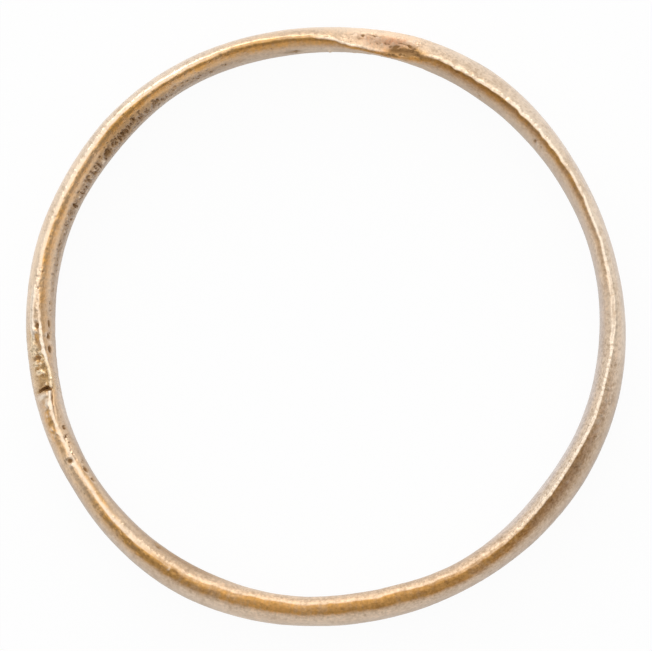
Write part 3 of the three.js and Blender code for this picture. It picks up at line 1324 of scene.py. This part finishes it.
def ring_wear() -> Wear:
    """Lists the wear of the whole ring, with the light and shade painted onto its colour.

    The crest line at the joints and the larger marks there are placed by points read off the
    photo, and the strengths were chosen by comparing renders with it.
    """
    cream_rim_shares = {170: 0.55, 180: 0.5, 188: 0.6}
    return Wear(
        crest_share={
            0: 0.02, 8: 0.04, 15: 0.08, 30: 0.18, 45: 0.1, 60: -0.08, 65.5: -0.08, 69: -0.1, 71: -0.17,
            73: -0.3, 75: -0.46, 77.3: -0.62, 79.2: -0.66, 81.3: -0.61, 83.4: -0.51, 85.7: -0.32,
            87.5: -0.09, 90: 0.06, 92.7: 0.24, 98: 0.34, 105: 0.43, 120: 0.35, 135: 0.56, 150: 0.42,
            165: 0.41, 172: 0.33, 176: 0.15, 178.5: 0.02, 180: -0.03, 182.5: -0.1, 184.9: -0.22,
            186.9: -0.36, 189.2: -0.46, 191.2: -0.5, 192.4: -0.44, 193.6: -0.28, 196.5: -0.12, 199.2: -0.04,
            207: -0.18, 215: -0.26, 225: -0.22, 240: -0.22, 255: -0.44, 270: -0.45, 285: -0.5, 300: -0.38,
            315: -0.33, 330: -0.41, 345: -0.29, 350: -0.24, 355: -0.12,
        },
        crest_radius={
            0: 0.16, 8: 0.15, 15: 0.1, 30: 0.12, 45: 0.12, 60: 0.11, 68: 0.1, 72: 0.28, 75: 0.22, 79: 0.12,
            85: 0.09, 90: 0.10, 105: 0.12, 120: 0.14, 150: 0.18, 172: 0.18, 180: 0.12, 183: 0.07, 191: 0.06,
            194: 0.13, 200: 0.2, 210: 0.24, 255: 0.24, 285: 0.26, 300: 0.18, 315: 0.11, 330: 0.08,
            345: 0.06, 352: 0.07, 357: 0.14,
        },
        crest_drop={
            0: 0, 66: 0, 70: 0.08, 75: 0.25, 79: 0.28, 84: 0.2, 90: 0.08, 98: 0, 180: 0, 188: 0.06,
            192: 0.08, 196: 0, 270: 0,
        },
        raggedness={
            0: 0.01, 30: 0.015, 45: 0.035, 67: 0.035, 80: 0.015, 95: 0.008, 160: 0.008, 185: 0.01,
            230: 0.01, 245: 0.02, 300: 0.02, 330: 0.006,
        },
        roughness={
            0: 0.002, 50: 0.003, 66: 0.004, 70: 0.012, 83: 0.012, 90: 0.003, 140: 0.002, 178: 0.003,
            182: 0.010, 192: 0.012, 200: 0.004, 225: 0.002, 240: 0.004, 300: 0.003, 335: 0.004,
        },
        grain={
            0: 0.7, 30: 0.4, 50: 0.5, 78: 1.1, 92: 0.4, 110: 0.5, 130: 0.4, 160: 0.3, 185: 0.7, 205: 0.4,
            228: 0.3, 240: 0.6, 270: 0.6, 300: 0.9, 315: 1.1, 330: 1.6, 345: 1.6, 355: 1.2,
        },
        dullness={
            0: 0.05, 45: 0.08, 60: 0.12, 78: 0.3, 92: 0.1, 120: 0, 185: 0.05, 228: 0.05, 240: 0.18,
            255: 0.28, 300: 0.28, 315: 0.15, 330: 0.05,
        },
        film=Coat(
            outside={
                0: 0.7, 30: 0.75, 60: 0.45, 90: 0.4, 135: 0.6, 150: 0.6, 165: 0.4, 178: 0.4, 183: 0.45,
                193: 0.45, 200: 0.4, 225: 0.6, 255: 0.75, 285: 0.8, 315: 0.85, 345: 0.75,
            },
            crest={
                0: 0.05, 30: 0.05, 60: 0.15, 90: 0.2, 135: 0.15, 165: 0.1, 195: 0.1, 225: 0, 255: 0, 285: 0,
                315: 0.1, 330: 0.1,
            },
            inside={
                0: 1, 30: 0.85, 60: 0.6, 90: 0.35, 150: 0.4, 195: 0.5, 225: 0.3, 255: 0.25, 285: 0.4,
                300: 0.6, 315: 0.9, 330: 1,
            },
            margin=(0.05, 0.38),
        ),
        # The golden-brown band keeps to the crest's side away from the light: partly the metal's colour,
        # partly painted shade.
        gold_and_painted_shade=Coat(
            outside={
                0: 0.15, 15: 0, 30: 0, 45: 0.1, 60: 0.3, 75: 0.4, 90: 0.5, 105: 0.45, 120: 0.2, 135: 0,
                160: 0.1, 172: 0.3, 180: 0.6, 184: 0.9, 191: 0.9, 195: 0.65, 210: 0.6, 225: 1, 240: 1.3,
                300: 1.3, 315: 1.1, 330: 0.85, 345: 0.5,
            },
            crest={
                0: 0, 45: 0.05, 60: 0.15, 69: 0.25, 71.5: 0.9, 75: 0.9, 78: 0.4, 84: 0.45, 90: 0.75,
                105: 0.85, 120: 0.5, 135: 0.25, 165: 0.35, 200: 0.25, 225: 0.25, 240: 0.8, 255: 1, 285: 1,
                300: 0.75, 315: 0.4, 330: 0.05,
            },
            inside={
                0: 0.2, 15: 0.6, 30: 0.9, 60: 1, 135: 1, 150: 0.8, 165: 0.85, 180: 0.75, 195: 0.6, 210: 0.4,
                225: 0.35, 240: 0.5, 255: 0.5, 300: 0.4, 325: 0,
            },
            margin=(0.02, 0.08),
        ),
        gold_and_shade_reach={
            0: 0.25, 30: 0.4, 60: 0.55, 75: 0.7, 90: 0.65, 120: 0.6, 150: 0.65, 175: 0.6, 182: 0.8,
            192: 0.8, 200: 0.7, 210: 0.7, 225: 0.5, 240: 0.42, 255: 0.38, 285: 0.4, 300: 0.48, 315: 0.55,
            330: 0.6, 345: 0.6,
        },
        # Painted shade on that band, and painted light where negative.
        painted_shading={
            0: -0.1, 15: 0.3, 30: 0.4, 60: 1, 75: -0.8, 90: 0.1, 105: -0.2, 120: -0.7, 135: -0.8, 150: -1.3,
            165: -1.2, 180: -0.2, 195: 0, 210: -0.9, 225: -0.3, 240: 0.2, 255: -0.3, 285: 0.1, 300: 0.4,
            315: 0.9, 330: 1.4, 345: 0.4,
        },
        # Painted light and shade on the outer face, lighter on the window's side.
        outer_painted_shading={
            0: 0, 15: 0.15, 30: 0, 60: 0, 75: -0.6, 90: -0.6, 105: 0, 120: -0.4, 135: -0.8, 150: -1,
            165: -0.7, 180: 0.3, 195: 0.3, 202: 0.4, 210: 1.2, 225: 0.9, 240: 0.5, 255: -0.1, 270: 0,
            285: 0.1, 300: 0.3, 315: 0.5, 330: 0.9, 345: 0.7,
        },
        # Painted shade in the bore, mostly shown as brown.
        bore_painted_shading={
            0: 0.25, 15: 0.2, 30: 0.25, 45: 0.25, 60: 0.35, 75: 0, 90: 0.1, 105: 0.2, 120: 0.2, 135: 0.4,
            150: 0.2, 165: 0, 180: 0.25, 195: -0.2, 210: 0.7, 225: 0.8, 240: 1, 255: 0.3, 270: 0.3,
            285: 0.5, 300: 0.5, 315: 0, 330: 0, 345: 0.1,
        },
        bore_ash={
            0: 0.9, 15: 0.4, 30: 0.3, 45: 0.1, 60: 0, 180: 0.1, 195: 0.4, 225: 0.2, 255: 0.3, 270: 0.6,
            300: 0.6, 315: 1, 345: 1,
        },
        marks=upper_joint_marks() + short_strip_marks() + left_joint_marks() + long_strip_marks(),
        ridges=(
            Ridge({}, {76: 0, 79: 0.02, 88: 0.025, 93: 0}, 0.05),
            Ridge({}, {312: 0, 322: 0.015, 350: 0.02, 356: 0}, 0.06),
            Ridge(cream_rim_shares, {171: 0, 175: 0.05, 180: 0.075, 184: 0.06, 188: 0}, 0.09),
            Ridge({}, {178: 0, 181.5: 0.02, 186: 0.05, 192: 0.05, 195: 0.02, 199: 0}, 0.055),
        ),
        fields=tuple(
            PitField(*row) for row in (
                ((127, 146), (-0.85, -0.35), 70, (0.03, 0.07), 0.045, 3, 90),
                ((116, 166), (-0.97, -0.5), 110, (0.04, 0.08), 0.05, 4, 90),
                ((158, 186), (-0.9, -0.55), 40, (0.025, 0.05), 0.04, 6, 90),
                ((193, 217), (-0.9, -0.35), 50, (0.025, 0.05), 0.05, 5, 90),
                ((116, 168), (-0.97, -0.4), 120, (0.025, 0.045), -0.04, 13, 90),
                ((94, 128), (-0.95, -0.3), 90, (0.02, 0.045), 0.025, 14, 90),
                ((163, 180), (-0.05, 0.5), 26, (0.03, 0.06), 0.03, 15, 90),
                ((194, 207), (-0.1, 0.75), 40, (0.03, 0.06), 0.03, 16, 90),
                ((325, 354), (-0.05, 0.35), 60, (0.05, 0.09), -0.025, 17),
                ((325, 354), (-0.05, 0.35), 40, (0.05, 0.09), 0.02, 18),
                ((225, 248), (-0.7, 0.2), 30, (0.02, 0.05), 0.02, 7, 90),
                ((179, 193), (-0.2, 0.65), 30, (0.04, 0.10), -0.045, 8),
                ((181, 193), (-0.2, 0.65), 28, (0.03, 0.07), 0.04, 9),
                ((193.8, 206), (-0.2, 0.5), 36, (0.04, 0.08), -0.02, 10),
                ((69, 86), (-0.3, 0.65), 60, (0.03, 0.08), 0.045, 11),
                ((69, 84), (-0.3, 0.65), 44, (0.03, 0.08), -0.045, 12),
            )
        ),
        stains=marks(
            (135, -0.42, 1.4, 0.13, 1.2, 0, 1.3), (141, -0.72, 3.8, 0.14, 1.25, 0, 1.6),
            (163, -0.78, 2.8, 0.08, 0.6, 0, 1.4), (121, -0.75, 1.6, 0.09, 0.4, 0, 1.4),
            # The stains at 69.5 to 73.8 in the upper joint's hollow are partly crust and partly painted
            # shade.
            (110, -0.75, 2.8, 0.12, 0.4, 0, 1.6), (73.4, -0.4, 0.8, 0.2, 0.6, -8, 1.3),
            (73.8, -0.6, 1, 0.12, 0.3, 0, 1.3), (83, 0.15, 0.3, 0.05, 0.4), (79.8, 0.5, 0.35, 0.05, 0.5),
            (69.5, -0.32, 0.6, 0.09, 0.4, 0, 1.5), (79, 0.2, 0.7, 0.16, 0.2, 0, 1.4),
            (96.5, -0.88, 0.3, 0.05, 0.8), (232, -0.75, 1.5, 0.05, 0.35, 0, 1.4),
            (205, -0.8, 1.5, 0.06, 0.4, 0, 1.4),
        ),
        blushes=marks(
            (79.5, 0.02, 1.2, 0.24, 0.68, 0, 1.4), (76, 0.25, 0.6, 0.14, 0.5, 0, 1.3),
            (333, 0.05, 3.6, 0.14, 0.7, 0, 1.5),
        ),
        gilts=marks(
            (187, 0.22, 1, 0.17, 0.65, 0, 1.8), (201, 0.4, 0.9, 0.14, 0.25),
            (74, -0.6, 1, 0.12, 0.45, 0, 1.5), (73, -0.3, 0.8, 0.15, 0.45, 0, 1.5),
            (216, -0.55, 1.3, 0.07, 0.45, 0, 1.5),
        ),
    )


def upper_joint_marks() -> Marks:
    """The rough patch on the worn saddle, and the hollow at the long strip's end."""
    return marks(
        (75.2, -0.34, 0.24, 0.15, 0.055), (73, -0.30, 0.32, 0.13, 0.05), (70.2, -0.36, 0.36, 0.10, 0.045),
        (75.2, -0.02, 0.10, 0.06, 0.05, 0, 1.3), (73.9, 0.28, 0.25, 0.03, 0.06, 8, 1.3),
        (79.9, 0.52, 0.16, 0.035, 0.04, 4), (78.7, 0.45, 0.07, 0.03, 0.045, -10),
        (82.5, 0.17, 0.14, 0.03, 0.04, 4), (77.5, 0.17, 0.10, 0.05, 0.04, -20),
        (76.6, -0.02, 0.08, 0.05, 0.035, 0), (75.6, 0.13, 0.12, 0.07, -0.05),
        (73.6, 0.06, 0.09, 0.055, -0.05), (72.2, 0.42, 0.10, 0.05, -0.035), (76.6, 0.5, 0.18, 0.05, -0.02),
        (81, -0.2, 0.20, 0.10, -0.02), (79.2, 0.25, 0.12, 0.06, -0.025), (67.4, 0.02, 0.12, 0.07, -0.02),
    )


def short_strip_marks() -> Marks:
    """The pits and nicks of the short strip."""
    return marks(
        (180.15, 0.23, 0.09, 0.07, 0.12, 0, 1.6), (181.3, 0.3, 0.05, 0.05, -0.03),
        (178.9, 0.3, 0.05, 0.06, -0.025), (179.5, -0.70, 0.14, 0.04, 0.08, 0, 1.4),
        (182.1, -0.62, 0.10, 0.06, 0.09, 0, 1.4), (182, -0.45, 0.07, 0.05, -0.05),
        (183.5, -0.7, 0.08, 0.05, -0.04), (184.8, -0.7, 0.14, 0.05, 0.10, 0, 1.4),
        (88.9, -0.97, 0.09, 0.05, -0.07), (113, 0.95, 0.12, 0.06, 0.03),
        (172.5, 0.42, 0.03, 0.07, 0.03, 0, 1.3), (170.4, 0.35, 0.03, 0.09, 0.03, 0, 1.3),
        (168.6, 0.38, 0.04, 0.08, 0.035, 0, 1.3), (158, 0.3, 0.05, 0.06, 0.03, 0, 1.3),
        (96, -0.86, 0.22, 0.02, 0.03),
    )


def left_joint_marks() -> Marks:
    """The hollows and lumps beside the sharp ridge of the left joint."""
    return marks(
        (186.5, 0.38, 0.06, 0.13, 0.08, 0, 1.5), (187.6, 0.48, 0.09, 0.10, -0.06),
        (188.5, 0.32, 0.05, 0.09, 0.07, 20, 1.5), (189.3, 0.22, 0.08, 0.14, -0.05, 15),
        (189, 0.48, 0.06, 0.05, 0.04), (184.8, 0.42, 0.12, 0.10, -0.04), (183.2, 0.3, 0.12, 0.06, 0.035),
        (190.8, 0.15, 0.18, 0.14, 0.04, 0, 1.4), (192, 0.4, 0.08, 0.12, 0.04),
    )


def crack_marks() -> Marks:
    """The crack across the left fill, where it meets the long strip."""
    return marks(
        (193, 0.52, 0.05, 0.10, 0.14, -8, 1.6), (192.8, 0.22, 0.05, 0.16, 0.16, -5, 1.6),
        (193.1, -0.10, 0.05, 0.12, 0.14, 5, 1.6), (193.5, -0.33, 0.05, 0.08, 0.10, 0, 1.6),
    )


def long_strip_marks() -> Marks:
    """The pits, nicks and lumps of the long strip."""
    return marks(
        (194.3, 0.45, 0.10, 0.16, -0.05), (195.9, 0.15, 0.16, 0.10, -0.035),
        (194.9, -0.38, 0.22, 0.06, 0.05, 0, 1.3), (196.9, -0.32, 0.3, 0.045, 0.03),
        (200.1, 0.37, 0.09, 0.06, 0.04, 0, 1.3), (208.4, 0.08, 0.075, 0.11, 0.09, 15, 1.4),
        (209.3, 0.1, 0.05, 0.10, -0.03), (207, -0.1, 0.05, 0.06, 0.03), (228.5, 0.12, 0.06, 0.07, 0.06),
        (219, 0.15, 0.03, 0.06, 0.03), (211.4, -0.78, 0.12, 0.05, 0.07, 0, 1.3),
        (214, -0.82, 0.10, 0.04, 0.06), (201.5, -0.6, 0.10, 0.06, 0.06), (233.5, -0.85, 0.16, 0.04, 0.05),
        (239.2, -0.1, 0.06, 0.09, 0.05), (238, -0.1, 0.05, 0.08, -0.025), (253.5, -0.45, 0.04, 0.06, 0.02),
        (1.5, 0, 1.5, 0.035, 0.028, 0, 1.4), (300.5, -0.1, 0.04, 0.10, 0.025), (344, 0.7, 0.08, 0.05, 0.03),
        (50.4, 0.12, 0.05, 0.12, 0.04, 10, 1.3), (40.4, -0.66, 0.08, 0.06, 0.06, 0, 1.3),
        (39.4, -0.62, 0.04, 0.06, -0.04), (38.6, -0.6, 0.06, 0.05, 0.05), (55.5, -0.85, 0.09, 0.03, 0.05),
    )


@dataclass
class FingerRing:
    """The whole ring: its strips, its fills and their finishes."""

    smith: RingSmith

    @staticmethod
    def dressings() -> dict[Strip, Dressing]:
        """How each piece is made and finished."""
        long_metal = RingMetal("worn_long_strip", warmth=0.08)
        short_metal = RingMetal("worn_short_strip", warmth=0.18)
        upper_metal = RingMetal("coppery_solder", warmth=0.15, roughness=0.36)
        olive = rgb(0.66, 0.41, 0.18)
        cream = rgb(1.0, 0.79, 0.54)
        left_metal = RingMetal("golden_solder", cream, olive, warmth=0.45, roughness=0.22)
        return {
            Strip.LONG: Dressing("long_strip_metal", long_metal, 0.31),
            Strip.SHORT: Dressing("short_strip_metal", short_metal, 0.19),
            Strip.UPPER_FILL: Dressing("upper_solder", upper_metal, 0.1),
            Strip.LEFT_FILL: Dressing("left_solder", left_metal, 0.1, crack_marks()),
        }

    def seams(self) -> dict[Strip, tuple[SeamPlane, SeamPlane]]:
        """The two seams of each piece, each with its normal off that piece."""
        upper_long, left_long = SeamPlane.ends_of(Strip.LONG)
        upper_short, left_short = SeamPlane.ends_of(Strip.SHORT)
        return {
            Strip.LONG: (left_long, upper_long),
            Strip.SHORT: (upper_short, left_short),
            Strip.UPPER_FILL: (upper_long.turned(), upper_short.turned()),
            Strip.LEFT_FILL: (left_short.turned(), left_long.turned()),
        }

    def build(self) -> None:
        """Builds, dresses and mounts every piece."""
        seams = self.seams()
        for strip, dressing in self.dressings().items():
            first, last = seams[strip]
            piece = HoopPiece(strip, self.smith, dressing, first, last).build()
            piece.data.materials.append(dressing.metal.make())
            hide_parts(strip.value)
            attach(piece, "root")
            LOG.info("%s: %d faces", piece.name, len(piece.data.polygons))


def main() -> None:
    """Builds the ring, then the studio round it."""
    logging.basicConfig(level=logging.INFO, format="%(name)s: %(message)s")
    FingerRing(RingSmith(HoopCourse(), ring_wear())).build()
    Studio().build()


if __name__ == "__main__":
    main()
